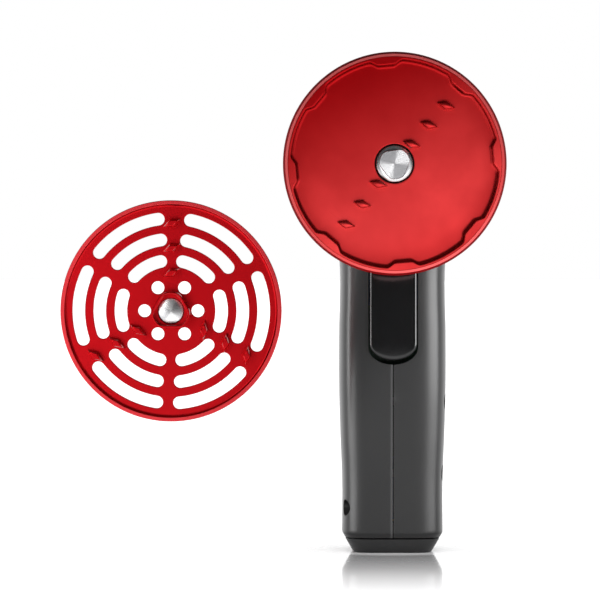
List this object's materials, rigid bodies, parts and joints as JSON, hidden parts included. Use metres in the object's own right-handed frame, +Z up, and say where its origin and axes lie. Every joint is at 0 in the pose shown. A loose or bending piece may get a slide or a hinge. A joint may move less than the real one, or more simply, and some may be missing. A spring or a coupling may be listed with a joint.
{
  "type": "cordless spice grinder",
  "caption": "Cordless hand-held spice grinder: a toothed bowl head with a driven nose, a perforated grinding plate, a trigger and an upright grip that stands on its foot.",
  "frame": {"origin": "centre of the flat foot that the grinder stands on", "axes": "+Z up along the grip, -Y out of the front of the grinding bowl, +X to the right as seen from the front"},
  "size_m": [0.1097, 0.0596, 0.125],
  "materials": {
    "red_alloy": "red anodised, satin, fine turned",
    "steel": "bright turned",
    "dark_steel": "dark zinc plated",
    "case_plastic": "fine satin texture",
    "gloss_plastic": "polished",
    "brass": "machined",
    "rubber": "moulded",
    "board": "solder-masked board",
    "cell_wrap": "shrink sleeve on a metal cell",
    "white_plastic": "natural nylon",
    "motor_shell": "plated can"
  },
  "bodies": {
    "handle": {"grinder_head": "red_alloy", "shaft_seal": "rubber", "front_bearing": "steel", "gearbox_plate": "dark_steel", "head_screw_1": "steel", "head_screw_2": "steel", "head_screw_3": "steel", "ring_gear": "white_plastic", "motor_mount": "dark_steel", "motor_can": "motor_shell", "motor_end_cap": "white_plastic", "motor_screw_1": "steel", "motor_screw_2": "steel", "left_shell": "case_plastic", "right_shell": "case_plastic", "case_screw_1": "steel", "case_screw_2": "steel", "case_screw_3": "steel", "case_screw_4": "steel", "base_cap": "case_plastic", "base_screw_1": "steel", "base_screw_2": "steel", "battery_cell": "cell_wrap", "battery_contact_bottom": "brass", "battery_contact_top": "brass", "control_board": "board", "charge_jack": "rubber", "jack_pin": "steel", "micro_switch": "rubber", "trigger_pin": "steel", "trigger_spring": "steel"},
    "shaft": {"drive_shaft": "steel", "planet_carrier": "dark_steel", "planet_pin_1": "steel", "planet_pin_2": "steel", "planet_pin_3": "steel"},
    "planet_1": {"planet_gear_1": "brass"},
    "planet_2": {"planet_gear_2": "brass"},
    "planet_3": {"planet_gear_3": "brass"},
    "motor_rotor": {"motor_shaft": "steel", "sun_gear": "brass"},
    "trigger": {"trigger": "gloss_plastic"},
    "plunger": {"switch_plunger": "white_plastic"},
    "plate_carrier": {"plate_magnet": "steel"},
    "plate": {"grinding_plate": "red_alloy"}
  },
  "joints": [
    {"name": "shaft_spin", "type": "hinge", "parent": "handle", "child": "shaft", "pos_m": [0, -0.03, 0.0975], "axis": [0, -1, 0], "continuous": true},
    {"name": "motor_spin", "type": "hinge", "parent": "handle", "child": "motor_rotor", "pos_m": [0, -0.0196, 0.0975], "axis": [0, -1, 0], "continuous": true},
    {"name": "planet_1_spin", "type": "hinge", "parent": "shaft", "child": "planet_1", "pos_m": [0.0081, -0.0196, 0.0975], "axis": [0, -1, 0], "continuous": true},
    {"name": "planet_2_spin", "type": "hinge", "parent": "shaft", "child": "planet_2", "pos_m": [-0.00405, -0.0196, 0.10451], "axis": [0, -1, 0], "continuous": true},
    {"name": "planet_3_spin", "type": "hinge", "parent": "shaft", "child": "planet_3", "pos_m": [-0.00405, -0.0196, 0.09049], "axis": [0, -1, 0], "continuous": true},
    {"name": "trigger_press", "type": "hinge", "parent": "handle", "child": "trigger", "pos_m": [0, -0.0128, 0.0734], "axis": [1, 0, 0], "range_deg": [0, 5], "stiffness_Nm_per_rad": 0.3, "springref_deg": -2.86},
    {"name": "plunger_press", "type": "slide", "parent": "handle", "child": "plunger", "axis": [0, 1, 0], "range_m": [0, 0.0018]},
    {"name": "plate_turn_over", "type": "hinge", "parent": "handle", "child": "plate_carrier", "pos_m": [-0.0275, -0.036, 0.0794], "axis": [-0.5498, 0, 0.8353], "range_deg": [0, 180]},
    {"name": "plate_spin", "type": "hinge", "parent": "plate_carrier", "child": "plate", "pos_m": [-0.055, -0.036, 0.0613], "axis": [0, 1, 0], "continuous": true}
  ],
  "couplings": [
    {"joint": "motor_spin", "follows": "shaft_spin", "ratio": 4.5},
    {"joint": "planet_1_spin", "follows": "shaft_spin", "ratio": -2.8},
    {"joint": "planet_2_spin", "follows": "shaft_spin", "ratio": -2.8},
    {"joint": "planet_3_spin", "follows": "shaft_spin", "ratio": -2.8},
    {"joint": "plate_spin", "follows": "shaft_spin", "ratio": 1},
    {"joint": "plunger_press", "follows": "trigger_press", "m_per_rad": 0.0184}
  ]
}
